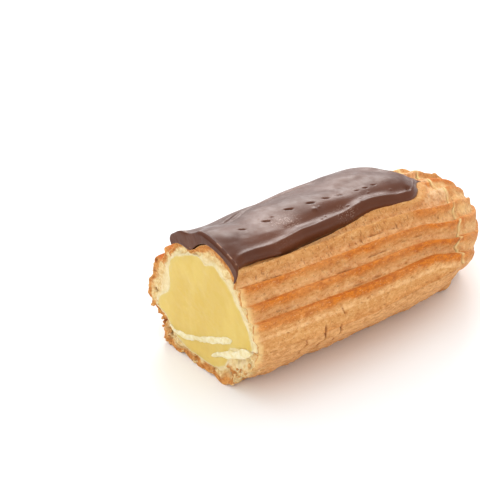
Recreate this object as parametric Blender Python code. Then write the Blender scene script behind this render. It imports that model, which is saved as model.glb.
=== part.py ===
"""The rounded half of a chocolate eclair, cut across its middle so that the custard shows.

The eclair lies along X, with the cut face at the low end and the rounded end at the high end,
and rests on z = 0. Lengths are in metres and angles in degrees. A place on the choux is given
by its distance from the cut and by an angle around it: 0 at the near side (-Y), 90 on top,
180 at the far side (+Y) and 270 underneath.
"""
import math

import bmesh
import bpy
from mathutils import Vector

# Choux body
LENGTH = 0.080            # from the cut face to the tip of the rounded end
HALF_WIDTH = 0.0205       # at the cut, along the widest line
WIDE_HEIGHT = 0.0137      # height of the widest line above the table
CROWN = 0.0188            # from the widest line up to the top
WIDTH_SWELL = 0.13        # share by which the middle is wider than the cut
CROWN_SAG = 0.18          # share by which the middle is lower than the cut
WIDTH_TAPER = 0.0537      # distance from the cut where the width begins to close
CROWN_TAPER = 0.0428      # the same for the height
TAPER_POWER = 1.5
CROWN_POWER = 2.15         # roundness of the section above the widest line
PINCH = 0.0046            # how much each flank draws in from the widest line to the top
LEAN = 0.0016             # the top leans this far to the near side
SLUMP = 0.0016            # extra draw-in of the far shoulder where the cut has let it sink
SLUMP_RUN = 0.022

# Underside: smooth on the near side, a creased foot on the far side and under the rounded end
BELLY_DEPTH = 0.0187      # the near flank's curve would reach this far under the widest line
BELLY_POWER = 1.32
LIP_HEIGHT = 0.0066       # the crease above the foot
LIP_POWER = 2.2
FOOT_HALF_WIDTH = 0.0148
FOOT_BASE_SHARE = 0.8      # width on the table as a share of the foot's width
FOOT_MOST = 0.86          # width of the foot as a share of the body's, at most
FOOT_LEAST = 0.45         # and at least, where it closes under the rounded end
FOOT_POWER = 2.8
FOOT_TAPER = 0.050
FOOT_TAPER_POWER = 2.5
FOOT_END = 0.0768         # past here the rounded end hangs free of the table
FOOT_RISE = 0.0034        # the foot lifts off the table over this last distance
NEAR_CREASE = (0.058, 0.067)   # the crease opens on the near side between these distances
LIP_SHARE = 0.4           # share of the lower quarter turn that the overhanging lip takes
LIP_TURN = 90.0 * LIP_SHARE
FLOOR_SHARE = 0.75        # share of the lower quarter turn where the section meets the table
TIP_UNDERSIDE = 0.35      # keeps the rounded end blunt underneath

# Piped ridges
RIDGE_PITCH = 13.95
FIRST_RIDGE = 20.3        # angle of the lowest crest
RIDGE_DEPTH = 0.0012
RIDGE_FALL = 0.8          # share of the pitch over which a crest falls away downwards
RIDGE_STEP = 0.07         # share of the pitch that the crisp upper edge of a crest takes
FOOT_LEVEL = 0.55         # level of the smooth foot, between a valley at 0 and a crest at 1
RIDGE_COLUMNS = (0.0, 0.20, 0.45, 0.70, 0.93)
DROP_START = 0.0512       # from here the ridges curve down towards the base
DROP_RUN = 0.0120
DROP_TURN = 18.0
DROP_MOST = 50.0
DROP_FREE = 10.0          # below the widest line by more than this, the turn is held back
DROP_HOLD = 20.0

# Crack around the rounded end
CRACK_PLACE = 0.0633
CRACK_SLANT = 0.0034      # it lies this much nearer the cut low down, and further away on top
CRACK_WAVE = 0.0007
CRACK_DEPTH = 0.0007
CRACK_HALF_WIDTH = 0.0008
CRACK_REACH = 0.0080      # neighbouring stations follow the crack over this distance

# Cavity, custard and the two webs of dough across the cavity
GAP = 0.0004
CAVITY_END = 0.0680
CAVITY_CENTRE = (-0.0005, 0.0150)
WALLS = ((0, 3.9), (60, 3.9), (90, 4.4), (130, 4.8), (165, 6.4), (182, 7.4), (203, 3.6), (216, 2.4),
         (232, 5.4), (248, 4.6), (270, 2.9), (292, 3.9), (320, 4.3), (345, 4.1), (360, 3.9))
WALL_UNIT = 0.001
WEB_HALF_THICKNESS = 0.00065
WEB_TIP_SHARE = 0.6       # a web's tip is thinner by this share
WEBS = (                  # angle at the wall, root, tip, bow, shares of the run that are shaped
    (228.0, (0.0096, 0.0048), (-0.0096, 0.0114), -0.0004, (0.05, 0.55)),
    (330.0, (-0.0142, 0.0109), (-0.0042, 0.0057), 0.0004, (0.55,)),
)
WEB_CLEAR = 13.0          # wall points this near to a web's angle are left out
CAVITY_STEP = 12.0
CAVITY_STATIONS = 12

# Icing
ICING_THICKNESS = 0.0021
ICING_END = 0.0620        # the tip of the icing
EDGE_THICKNESS = 0.0004
NEAR_EDGE = ((0.0, 50.5), (0.0015, 56.5), (0.006, 59.5), (0.0125, 59.5), (0.0185, 61.5),
             (0.030, 62.2), (0.040, 65.2), (0.051, 65.0), (0.0555, 69.5), (0.0595, 79.0),
             (ICING_END, 82.0))
FAR_EDGE = ((0.0, 127.0), (0.020, 128.0), (0.040, 132.0), (0.0485, 132.0), (0.0535, 122.0),
            (0.0565, 100.0), (0.0595, 87.0), (ICING_END, 85.0))
RIM_POWER = 6.0
RIM_ROLL = 0.0006         # the near rim is this much thicker
RIM_ROLL_PLACE = -0.80
RIM_ROLL_WIDTH = 0.16
ICING_WAVE = 0.00035
ICING_SEAL = 4.0          # within this angle of its edge the icing fills the valleys
ICING_COLUMNS = 17
ICING_STATIONS = 36

# Stations along the choux
BODY_STATIONS = 16
END_STATIONS = 14
END_START = 0.050
SLOPE_STEP = 0.0002       # small step for measuring the surface's slope
SLOPE_TURN = 0.5


def curved_pair(angle, power):
    """Sideways and upward share of a rounded section at an angle."""
    side, up = math.cos(math.radians(angle)), math.sin(math.radians(angle))
    curve = 2.0 / power
    return math.copysign(abs(side) ** curve, side), math.copysign(abs(up) ** curve, up)


def mix(low, high, share):
    return low + (high - low) * share


def ramp(value, start, end):
    """0 before start, 1 after end, and smooth between."""
    share = min(1.0, max(0.0, (value - start) / (end - start)))
    return share * share * (3.0 - 2.0 * share)


def closing(distance, start, power=TAPER_POWER, end=LENGTH):
    """Share of a width or height that is left as the rounded end closes."""
    share = min(1.0, max(0.0, distance - start) / (end - start))
    return math.sqrt(1.0 - share ** power)


def between(points, place):
    """Value at a place along a short list of (place, value), read along a smooth curve."""
    for number in range(len(points) - 1):
        if place <= points[number + 1][0]:
            break
    (start, first), (end, second) = points[number], points[number + 1]
    share = min(1.0, max(0.0, (place - start) / (end - start)))
    before = points[max(0, number - 1)]
    after = points[min(len(points) - 1, number + 2)]
    run = end - start
    leave = (second - before[1]) / (end - before[0]) * run
    arrive = (after[1] - first) / (after[0] - start) * run
    rest = 1.0 - share
    return (first * (1.0 + 2.0 * share) * rest * rest + second * (3.0 - 2.0 * share) * share * share
            + leave * share * rest * rest - arrive * share * share * rest)


# ---------------------------------------------------------------- the choux's outer form

def half_width(distance):
    swell = math.sin(math.pi * distance / LENGTH)
    return HALF_WIDTH * (1.0 + WIDTH_SWELL * swell) * closing(distance, WIDTH_TAPER)


def crown_height(distance):
    sag = math.sin(math.pi * distance / LENGTH)
    return CROWN * (1.0 - CROWN_SAG * sag) * closing(distance, CROWN_TAPER)


def crown_point(distance, angle):
    """Section above the widest line, as (y, z)."""
    side, up = curved_pair(angle, CROWN_POWER)
    close = closing(distance, CROWN_TAPER)
    slump = 0.0 if angle < 90.0 else SLUMP * (1.0 - ramp(distance, 0.0, SLUMP_RUN))
    y = -side * (half_width(distance) - (PINCH + slump) * up * close) - LEAN * up * up * close
    return y, WIDE_HEIGHT + crown_height(distance) * up


def smooth_belly(distance, share):
    """Lower quarter turn that runs smoothly to the table, as (distance outwards, z)."""
    floor_reach = WIDE_HEIGHT / BELLY_DEPTH
    floor_turn = math.degrees(math.asin(floor_reach ** (BELLY_POWER / 2.0)))
    side, down = curved_pair(floor_turn * min(1.0, share / FLOOR_SHARE), BELLY_POWER)
    out = half_width(distance) * side
    if share > FLOOR_SHARE:
        out *= (1.0 - share) / (1.0 - FLOOR_SHARE)
    return out, WIDE_HEIGHT * (1.0 - down / floor_reach)


def creased_belly(distance, share):
    """Lower quarter turn with an overhanging lip above a narrower foot."""
    lip_drop = (WIDE_HEIGHT - LIP_HEIGHT) * closing(distance, CROWN_TAPER) ** TIP_UNDERSIDE
    width, top = half_width(distance), WIDE_HEIGHT - lip_drop
    plan = closing(min(distance, FOOT_END), FOOT_TAPER, FOOT_TAPER_POWER, FOOT_END)
    wall = min(FOOT_HALF_WIDTH * plan, width * FOOT_MOST)
    wall = max(wall, width * FOOT_LEAST)
    base = wall * FOOT_BASE_SHARE
    floor = top * ramp(distance, FOOT_END - FOOT_RISE, FOOT_END)
    if share <= LIP_SHARE:
        side, down = curved_pair(90.0 * share / LIP_SHARE, LIP_POWER)
        return mix(wall, width, side), WIDE_HEIGHT - lip_drop * down
    if share <= FLOOR_SHARE:
        turn = 90.0 * (share - LIP_SHARE) / (FLOOR_SHARE - LIP_SHARE)
        side, down = curved_pair(turn, FOOT_POWER)
        return mix(base, wall, side), mix(top, floor, down)
    return base * (1.0 - share) / (1.0 - FLOOR_SHARE), floor


def belly_point(distance, angle):
    """Section below the widest line, as (y, z)."""
    far_side = angle < 270.0
    share = (angle - 180.0) / 90.0 if far_side else (360.0 - angle) / 90.0
    crease = 1.0 if far_side else ramp(distance, *NEAR_CREASE)
    smooth, creased = smooth_belly(distance, share), creased_belly(distance, share)
    out, z = (mix(a, b, crease) for a, b in zip(smooth, creased))
    return (out if far_side else -out), z


def envelope(distance, angle):
    """A point on the surface that touches every ridge crest."""
    distance, angle = min(distance, LENGTH), angle % 360.0
    y, z = crown_point(distance, angle) if angle <= 180.0 else belly_point(distance, angle)
    return Vector((distance - LENGTH / 2.0, y, z))


def outward(surface, distance, angle):
    """Unit normal of a surface, measured with small steps."""
    along = surface(distance, angle) - surface(distance - SLOPE_STEP, angle)
    around = surface(distance, angle + SLOPE_TURN) - surface(distance, angle - SLOPE_TURN)
    return along.cross(around).normalized()


# ---------------------------------------------------------------- ridges and crack

def ridge_turn(distance, angle):
    """Angle on the section that a ridge line reaches as it curves down to the base."""
    reach = max(0.0, distance - DROP_START) / DROP_RUN
    drop = min(DROP_MOST, DROP_TURN * reach ** 1.5)
    above = 90.0 - abs(90.0 - angle)
    turned = max(0.0, above)
    turned -= drop * math.cos(math.radians(turned)) ** 1.5
    if turned < -DROP_FREE:
        turned = -DROP_FREE - DROP_HOLD * (1.0 - math.exp((turned + DROP_FREE) / DROP_HOLD))
    if above < 0.0:
        turned = mix(turned, -LIP_TURN, min(1.0, -above / LIP_TURN)) if above > -LIP_TURN else above
    return turned if angle <= 90.0 else 180.0 - turned


def ridge_line(distance, angle):
    return envelope(distance, ridge_turn(distance, angle))


def ridge_level(angle):
    """Level of the piped pattern: 0 in a valley and 1 on a crest."""
    angle = 90.0 - abs(90.0 - angle)
    if angle < 0.0:
        return mix(FOOT_LEVEL, 1.0, ramp(-angle, 0.0, LIP_TURN))
    under = (FIRST_RIDGE - angle) / RIDGE_PITCH
    if under >= 0.0:
        return mix(1.0, FOOT_LEVEL, ramp(under, 0.0, RIDGE_FALL))
    under %= 1.0
    if under > 1.0 - RIDGE_STEP:
        return (under - 1.0 + RIDGE_STEP) / RIDGE_STEP
    return 1.0 - ramp(under, 0.0, RIDGE_FALL)


def crack_shift(angle):
    """How far the crack lies from its mean place, at an angle."""
    angle = 90.0 - abs(90.0 - angle)
    slant = mix(-1.0, 1.0, ramp(angle, FIRST_RIDGE, 3.2 * FIRST_RIDGE))
    wave = CRACK_WAVE * math.sin(math.radians(11.0 * angle))
    return (CRACK_SLANT * slant + wave) * ramp(angle, -LIP_TURN, 0.0)


def bare(distance, angle):
    """1 on open choux, falling to 0 where the icing has filled the valleys."""
    if distance > ICING_END:
        return 1.0
    near, far = between(NEAR_EDGE, distance), between(FAR_EDGE, distance)
    inside = min(angle - near, far - angle)
    return 1.0 - ramp(inside, 0.0, ICING_SEAL)


def choux_point(station, angle):
    """A point on the choux, with its ridges, its valleys and the crack."""
    if abs(90.0 - angle) > 90.0 + LIP_TURN:
        return envelope(station, angle)
    from_crack = station - CRACK_PLACE
    station += crack_shift(angle) * math.exp(-(from_crack / CRACK_REACH) ** 2)
    fade = min(1.0, 3.0 * closing(station, WIDTH_TAPER))
    sink = RIDGE_DEPTH * (1.0 - ridge_level(angle)) * fade * bare(station, angle)
    if abs(from_crack) < CRACK_HALF_WIDTH / 2.0 and 0.0 < angle < 180.0:
        sink += CRACK_DEPTH
    return ridge_line(station, angle) - sink * outward(ridge_line, station, angle)


def choux_angles():
    """Angles of the columns, from the near lip over the top and round under the foot."""
    lip = [-LIP_TURN * share for share in (1.0, 0.8, 0.55, 0.35, 0.12)] + [4.0]
    crests = [FIRST_RIDGE + RIDGE_PITCH * number for number in range(6)]
    ridges = [crest - share * RIDGE_PITCH for crest in crests for share in reversed(RIDGE_COLUMNS)]
    near = lip + [angle for angle in ridges if angle < 89.0]
    far = [180.0 - angle for angle in reversed(near)]
    foot = [180.0 + 90.0 * mix(LIP_SHARE, FLOOR_SHARE, step) for step in (0.12, 0.5, 0.8, 1.0)]
    foot.append(260.0)
    return near + far + foot + [270.0] + [540.0 - angle for angle in reversed(foot)]


def choux_stations():
    """Distances from the cut of the rings around the choux, closer together at the end."""
    stations = [END_START * number / BODY_STATIONS for number in range(BODY_STATIONS)]
    for number in range(END_STATIONS):
        turn = 0.5 * math.pi * number / END_STATIONS
        stations.append(END_START + (LENGTH - END_START) * math.sin(turn))
    around_crack = [CRACK_PLACE + side * CRACK_HALF_WIDTH for side in (-1, 0, 1)]
    stations = [s for s in stations if abs(s - CRACK_PLACE) > 2.0 * CRACK_HALF_WIDTH]
    return sorted(stations + around_crack)


# ---------------------------------------------------------------- cavity and custard

def wall_thickness(angle):
    return between(WALLS, angle) * WALL_UNIT


def inner_point(distance, angle):
    """A point on the cavity's wall, as (y, z)."""
    wall = envelope(distance, angle)
    centre = Vector((wall.x, *CAVITY_CENTRE))
    inner = wall.lerp(centre, wall_thickness(angle) / (centre - wall).length)
    return Vector((inner.y, inner.z))


def web_outline(distance, root, tip, bow, shares):
    """Outline of one web of dough: out along one side, round its tip and back."""
    shrink = min(1.0, half_width(distance) / half_width(0.0))
    centre = Vector(CAVITY_CENTRE)
    root, tip = (centre + (Vector(end) - centre) * shrink for end in (root, tip))
    run = (tip - root).normalized()
    across = Vector((run.y, -run.x)) * WEB_HALF_THICKNESS
    line = [root.lerp(tip, share) + Vector((0.0, bow)) for share in shares]
    out = [point + across for point in line] + [tip + across * WEB_TIP_SHARE]
    back = [tip - across * WEB_TIP_SHARE] + [point - across for point in reversed(line)]
    return out + [tip + run * WEB_HALF_THICKNESS * WEB_TIP_SHARE] + back


def cavity_outline(distance):
    """Ring around the cavity, with the two webs reaching into it, as (y, z) points."""
    points, angle = [], 0.0
    webs = list(WEBS)
    while angle < 360.0:
        if all(abs(angle - web[0]) > WEB_CLEAR for web in WEBS):
            points.append(inner_point(distance, angle))
        elif webs and angle > webs[0][0] - WEB_CLEAR:
            points += web_outline(distance, *webs.pop(0)[1:])
        angle += CAVITY_STEP
    return points


def inset(points, gap):
    """The same ring moved inwards by a gap, with its sides kept parallel."""
    moved = []
    for number, point in enumerate(points):
        before = (point - points[number - 1]).normalized()
        after = (points[(number + 1) % len(points)] - point).normalized()
        turn = Vector((before.y + after.y, -before.x - after.x))
        moved.append(point + turn * (gap / (1.0 + before.dot(after))))
    return moved


def inner_rings(end, gap):
    """Rings from the cut to the blind end: the cavity's, or with a gap the custard's."""
    rings = []
    for number in range(CAVITY_STATIONS + 1):
        distance = end * number / CAVITY_STATIONS
        outline = inset(cavity_outline(distance), gap)
        rings.append([Vector((distance - LENGTH / 2.0, point.x, point.y)) for point in outline])
    return rings


# ---------------------------------------------------------------- icing

def icing_point(distance, across, lift):
    """A point at a lift above the choux; across is -1 at the near edge and 1 at the far one."""
    angle = mix(between(NEAR_EDGE, distance), between(FAR_EDGE, distance), (across + 1.0) / 2.0)
    return envelope(distance, angle) + outward(envelope, distance, angle) * lift


def icing_thickness(distance, across):
    rim = math.sqrt(1.0 - abs(across) ** RIM_POWER)
    tail = mix(0.55, 1.0, 1.0 - ramp(distance, 0.052, ICING_END))
    roll = RIM_ROLL * math.exp(-((across - RIM_ROLL_PLACE) / RIM_ROLL_WIDTH) ** 2)
    wave = ICING_WAVE * math.sin(280.0 * distance + 2.0 * across) * math.cos(3.0 * across)
    return EDGE_THICKNESS + (ICING_THICKNESS - EDGE_THICKNESS + roll + wave) * rim * tail


def icing_ring(distance):
    """Ring around the icing: its top from near to far, then its underside back."""
    places = [math.sin(0.5 * math.pi * (2.0 * number / (ICING_COLUMNS - 1) - 1.0))
              for number in range(ICING_COLUMNS)]
    top = [icing_point(distance, place, GAP + icing_thickness(distance, place)) for place in places]
    under = [icing_point(distance, place, GAP) for place in reversed(places)]
    return top + under


def icing_stations():
    """Rings along the icing, closer together towards its tip."""
    return [ICING_END * math.sin(0.5 * math.pi * number / ICING_STATIONS) ** 0.9
            for number in range(ICING_STATIONS + 1)]


# ---------------------------------------------------------------- meshes

def add_rings(mesh, rings):
    """Skin over a row of rings that all have the same number of points."""
    loops = [[mesh.verts.new(point) for point in ring] for ring in rings]
    for first, second in zip(loops, loops[1:]):
        for number in range(len(first)):
            following = (number + 1) % len(first)
            mesh.faces.new((first[number], first[following], second[following], second[number]))
    return loops


def ring_edges(mesh, loop):
    return [mesh.edges.get((loop[number - 1], loop[number])) for number in range(len(loop))]


def square_cut(rings):
    """Bring the first ring into the plane of the cut."""
    for point in rings[0]:
        point.x = -LENGTH / 2.0
    return rings


def fill_flat(mesh, *loops):
    """Close one loop, or the face between an outer and an inner loop, that lies in a plane."""
    edges = [edge for loop in loops for edge in ring_edges(mesh, loop)]
    bmesh.ops.triangle_fill(mesh, use_beauty=True, edges=edges)


def fill_strip(mesh, loop):
    """Close a thin ring by joining its first half to its second half."""
    half = len(loop) // 2
    for number in range(half - 1):
        mesh.faces.new((loop[number], loop[number + 1], loop[-2 - number], loop[-1 - number]))


def food_material(name, colour, roughness):
    material = bpy.data.materials.new(name)
    material.use_nodes = True
    shader = material.node_tree.nodes["Principled BSDF"]
    shader.inputs["Base Color"].default_value = (*colour, 1.0)
    shader.inputs["Roughness"].default_value = roughness
    shader.inputs["Metallic"].default_value = 0.0
    return material


def add_object(name, mesh, material):
    """Turn a finished mesh into a named object with its own material."""
    bmesh.ops.recalc_face_normals(mesh, faces=mesh.faces)
    data = bpy.data.meshes.new(name)
    mesh.to_mesh(data)
    mesh.free()
    data.materials.append(material)
    data.shade_smooth()
    data.set_sharp_from_angle(angle=math.radians(40.0))
    item = bpy.data.objects.new(name, data)
    bpy.context.collection.objects.link(item)
    return item


def make_choux():
    """Ridged shell, closed at the rounded end and open at the cut, with its two inner webs."""
    mesh = bmesh.new()
    angles = choux_angles()
    rings = [[choux_point(station, angle) for angle in angles] for station in choux_stations()]
    outer = add_rings(mesh, square_cut(rings))
    tip = mesh.verts.new(envelope(LENGTH, 0.0))
    for number in range(len(angles)):
        mesh.faces.new((outer[-1][number - 1], outer[-1][number], tip))
    inner = add_rings(mesh, inner_rings(CAVITY_END, 0.0))
    fill_flat(mesh, inner[-1])
    fill_flat(mesh, outer[0], inner[0])
    return add_object("choux_shell", mesh, food_material("choux", (0.62, 0.33, 0.12), 0.75))


def make_custard():
    """Custard that fills the cavity and shows at the cut."""
    mesh = bmesh.new()
    loops = add_rings(mesh, inner_rings(CAVITY_END - GAP, GAP))
    fill_flat(mesh, loops[0])
    fill_flat(mesh, loops[-1])
    return add_object("custard_filling", mesh, food_material("custard", (0.82, 0.62, 0.18), 0.4))


def make_icing():
    """Chocolate icing over the top, with a rolled near rim and a pointed end."""
    mesh = bmesh.new()
    loops = add_rings(mesh, square_cut([icing_ring(distance) for distance in icing_stations()]))
    fill_strip(mesh, loops[0])
    fill_strip(mesh, loops[-1])
    return add_object("chocolate_icing", mesh, food_material("icing", (0.13, 0.045, 0.03), 0.3))


def main():
    for item in list(bpy.data.objects):
        bpy.data.objects.remove(item, do_unlink=True)
    make_choux()
    make_custard()
    make_icing()


main()
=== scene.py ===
"""The looks of a chocolate eclair's cut half: baked choux crust, torn crumb, custard and icing.

Lengths are in millimetres and angles in degrees; MM turns a length into Blender's metres. A place
on the choux is its distance from the cut and an angle around it: 0 at the near side (-Y), 90 on
top, 180 at the far side (+Y) and 270 underneath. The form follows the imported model's own rules,
and adds what is too fine for it.
"""
import math

import bmesh
import bpy
import numpy as np
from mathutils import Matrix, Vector


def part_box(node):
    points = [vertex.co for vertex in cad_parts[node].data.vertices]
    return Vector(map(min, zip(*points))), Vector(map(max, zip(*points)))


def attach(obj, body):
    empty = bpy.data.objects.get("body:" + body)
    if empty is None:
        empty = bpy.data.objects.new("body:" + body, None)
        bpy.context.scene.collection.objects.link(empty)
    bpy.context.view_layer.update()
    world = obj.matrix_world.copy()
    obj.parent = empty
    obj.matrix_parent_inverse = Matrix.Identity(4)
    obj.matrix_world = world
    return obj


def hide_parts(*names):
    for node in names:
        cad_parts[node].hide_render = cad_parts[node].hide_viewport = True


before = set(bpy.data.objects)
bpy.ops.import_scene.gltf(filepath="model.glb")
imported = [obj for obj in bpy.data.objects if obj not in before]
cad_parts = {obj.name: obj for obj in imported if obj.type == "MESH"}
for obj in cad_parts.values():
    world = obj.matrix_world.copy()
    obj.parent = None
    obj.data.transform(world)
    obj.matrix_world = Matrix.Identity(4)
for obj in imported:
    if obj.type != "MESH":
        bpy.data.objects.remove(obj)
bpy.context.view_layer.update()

MM = 0.001
CHOUX_LOW, CHOUX_HIGH = (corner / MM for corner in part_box("choux_shell"))
CUT_X = CHOUX_LOW.x
LENGTH = CHOUX_HIGH.x - CHOUX_LOW.x

# Body of the choux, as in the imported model
HALF_WIDTH = 20.5
WIDE_HEIGHT = 13.7
CROWN = 18.8
WIDTH_SWELL = 0.13
CROWN_SAG = 0.18
WIDTH_TAPER = 53.7
CROWN_TAPER = 42.8
TAPER_POWER = 1.5
CROWN_POWER = 2.15
PINCH = 4.6
LEAN = 1.6
SLUMP = 1.6
SLUMP_RUN = 22.0
BELLY_DEPTH = 18.7
BELLY_POWER = 1.32
LIP_HEIGHT = 6.6
LIP_POWER = 2.2
LIP_SHARE = 0.4
LIP_TURN = 90.0 * LIP_SHARE
FOOT_HALF_WIDTH = 14.8
FOOT_BASE_SHARE = 0.8
FOOT_MOST = 0.86
FOOT_LEAST = 0.45
FOOT_POWER = 2.8
FOOT_TAPER = 50.0
FOOT_TAPER_POWER = 2.5
FOOT_END = 76.8
FOOT_RISE = 3.4
NEAR_CREASE = (58.0, 67.0)
FLOOR_SHARE = 0.75
TIP_UNDERSIDE = 0.35

# Piped ridges and the crack around the rounded end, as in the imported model
RIDGE_PITCH = 13.95
FIRST_RIDGE = 20.3
RIDGE_DEPTH = 1.2
RIDGE_FALL = 0.8
RIDGE_STEP = 0.13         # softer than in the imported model
RIDGE_CARVED = 1.3        # and the valleys are this many times as deep
FOOT_LEVEL = 0.55
DROP_START = 51.2
DROP_RUN = 12.0
DROP_TURN = 18.0
DROP_MOST = 50.0
DROP_FREE = 10.0
DROP_HOLD = 20.0
CRACK_PLACE = 63.3
CRACK_SLANT = 3.4
CRACK_WAVE = 0.7
CRACK_REACH = 8.0

# Cavity and webs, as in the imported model
CAVITY_END = 68.0
CAVITY_CENTRE = (-0.5, 15.0)
CAVITY_STEP = 12.0
WALLS = ((0, 3.9), (60, 3.9), (90, 4.4), (130, 4.8), (165, 6.4), (182, 7.4), (203, 3.6), (216, 2.4),
         (232, 5.4), (248, 4.6), (270, 2.9), (292, 3.9), (320, 4.3), (345, 4.1), (360, 3.9))

# Icing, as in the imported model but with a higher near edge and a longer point
ICING_THICKNESS = 2.1
ICING_END = 64.0
NEAR_EDGE = ((0.0, 50.5), (1.5, 57.5), (6.0, 61.2), (12.5, 62.2), (18.5, 65.2), (24.0, 66.8),
             (30.0, 68.2), (36.0, 70.6), (42.0, 71.6), (46.0, 70.4), (50.5, 68.2), (54.0, 67.2),
             (56.5, 69.8), (59.0, 76.5), (61.0, 82.0), (ICING_END, 85.0))
FAR_EDGE = ((0.0, 127.0), (20.0, 128.0), (40.0, 132.0), (48.5, 132.0), (53.5, 122.0),
            (56.5, 104.0), (59.5, 94.0), (61.5, 89.0), (ICING_END, 87.0))
ICING_SEAL = 4.0
FAR_LUMP = 7.0

# Fineness of the meshes
LIP_COLUMNS = 36
RIDGE_COLUMNS = 14
STEP_COLUMNS = 4
LOW_TURN = 72.0
LOW_COLUMNS = 20
FLOOR_COLUMNS = 14
STATION_STEP = 0.46
END_START = 50.0
SLOPE_STEP = 0.2
SLOPE_TURN = 4.0


# ---------------------------------------------------------------- small helpers for shapes

def mix(low, high, share):
    return low + (high - low) * share


def ramp(value, start, end):
    """0 before start, 1 after end, and smooth between."""
    share = np.clip((value - start) / (end - start), 0.0, 1.0)
    return share * share * (3.0 - 2.0 * share)


def hump(value, centre, width):
    """1 at the centre, falling smoothly to 0 over a few widths."""
    return np.exp(-((value - centre) / width) ** 2)


def closing(distance, start, power=TAPER_POWER, end=LENGTH):
    """Share of a width or height that is left as the rounded end closes."""
    share = np.clip((distance - start) / (end - start), 0.0, 1.0)
    return np.sqrt(1.0 - share ** power)


def curved_pair(angle, power):
    """Sideways and upward share of a rounded section at an angle."""
    side, up = np.cos(np.radians(angle)), np.sin(np.radians(angle))
    curve = 2.0 / power
    return np.sign(side) * np.abs(side) ** curve, np.sign(up) * np.abs(up) ** curve


def between(points, place):
    """Values at places along a short list of (place, value), read along a smooth curve."""
    places, values = np.array(points, float).T
    last = len(places) - 1
    number = np.clip(np.searchsorted(places, place) - 1, 0, last - 1)
    before, after = np.maximum(0, number - 1), np.minimum(last, number + 2)
    start, end = places[number], places[number + 1]
    first, second = values[number], values[number + 1]
    share = np.clip((place - start) / (end - start), 0.0, 1.0)
    leave = (second - values[before]) / (end - places[before]) * (end - start)
    arrive = (values[after] - first) / (places[after] - start) * (end - start)
    rest = 1.0 - share
    return (first * (1.0 + 2.0 * share) * rest ** 2 + second * (3.0 - 2.0 * share) * share ** 2
            + leave * share * rest ** 2 - arrive * share ** 2 * rest)


def scatter(cells, seed):
    """Repeatable random numbers from 0 to 1, one for each whole-numbered cell."""
    mixed = cells[..., 0] * 73856093 ^ cells[..., 1] * 19349663 ^ cells[..., 2] * 83492791
    mixed = (mixed ^ seed * 2654435761).astype(np.uint64) & np.uint64(0xFFFFFFFF)
    for factor in (2246822519, 3266489917):
        mixed = ((mixed ^ (mixed >> np.uint64(15))) * np.uint64(factor)) & np.uint64(0xFFFFFFFF)
    return (mixed ^ (mixed >> np.uint64(16))).astype(float) / 0xFFFFFFFF


def noise(points, size, seed):
    """Smooth noise from -1 to 1, with lumps of a size (one number, or one for each axis)."""
    cells = points / np.asarray(size, float)
    corner = np.floor(cells).astype(np.int64)
    share = cells - corner
    share = share ** 3 * (share * (share * 6.0 - 15.0) + 10.0)
    total = 0.0
    for step in np.ndindex(2, 2, 2):
        weight = np.prod(np.where(np.array(step) == 1, share, 1.0 - share), axis=-1)
        total = total + weight * scatter(corner + np.array(step), seed)
    return 2.0 * total - 1.0


def rough(points, size, seed, octaves=3):
    """Noise with finer and fainter noise on top."""
    size = np.asarray(size, float)
    return sum(noise(points, size / 2 ** number, seed + number) / 2 ** number
               for number in range(octaves))


def pits(points, size, seed, share, radius):
    """Scattered round pits: 0 outside, 1 at a pit's middle. radius is in cells of the size."""
    cells = points / np.asarray(size, float)
    corner = np.floor(cells).astype(np.int64)
    deepest = np.zeros(cells.shape[:-1])
    for step in np.ndindex(3, 3, 3):
        cell = corner + np.array(step) - 1
        middle = cell + np.stack([scatter(cell, seed + axis) for axis in (1, 2, 3)], axis=-1)
        width = radius * mix(0.35, 1.0, scatter(cell, seed + 4))
        depth = 1.0 - np.sum((cells - middle) ** 2, axis=-1) / width ** 2
        depth = np.where(scatter(cell, seed + 5) < share, depth, 0.0)
        deepest = np.maximum(deepest, depth)
    return deepest


# ---------------------------------------------------------------- the choux's outer form

def half_width(distance):
    swell = np.sin(np.pi * distance / LENGTH)
    return HALF_WIDTH * (1.0 + WIDTH_SWELL * swell) * closing(distance, WIDTH_TAPER)


def crown_point(distance, angle):
    """Section above the widest line, as y and z."""
    side, up = curved_pair(angle, CROWN_POWER)
    close = closing(distance, CROWN_TAPER)
    slump = np.where(angle < 90.0, 0.0, SLUMP * (1.0 - ramp(distance, 0.0, SLUMP_RUN)))
    y = -side * (half_width(distance) - (PINCH + slump) * up * close) - LEAN * up * up * close
    height = CROWN * (1.0 - CROWN_SAG * np.sin(np.pi * distance / LENGTH)) * close
    return y, WIDE_HEIGHT + height * up


def smooth_belly(distance, share):
    """Lower quarter turn that runs smoothly to the table, as (distance outwards, z)."""
    floor_reach = WIDE_HEIGHT / BELLY_DEPTH
    floor_turn = math.degrees(math.asin(floor_reach ** (BELLY_POWER / 2.0)))
    side, down = curved_pair(floor_turn * np.minimum(1.0, share / FLOOR_SHARE), BELLY_POWER)
    floor = np.clip((1.0 - share) / (1.0 - FLOOR_SHARE), 0.0, 1.0)
    return half_width(distance) * side * floor, WIDE_HEIGHT * (1.0 - down / floor_reach)


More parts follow.
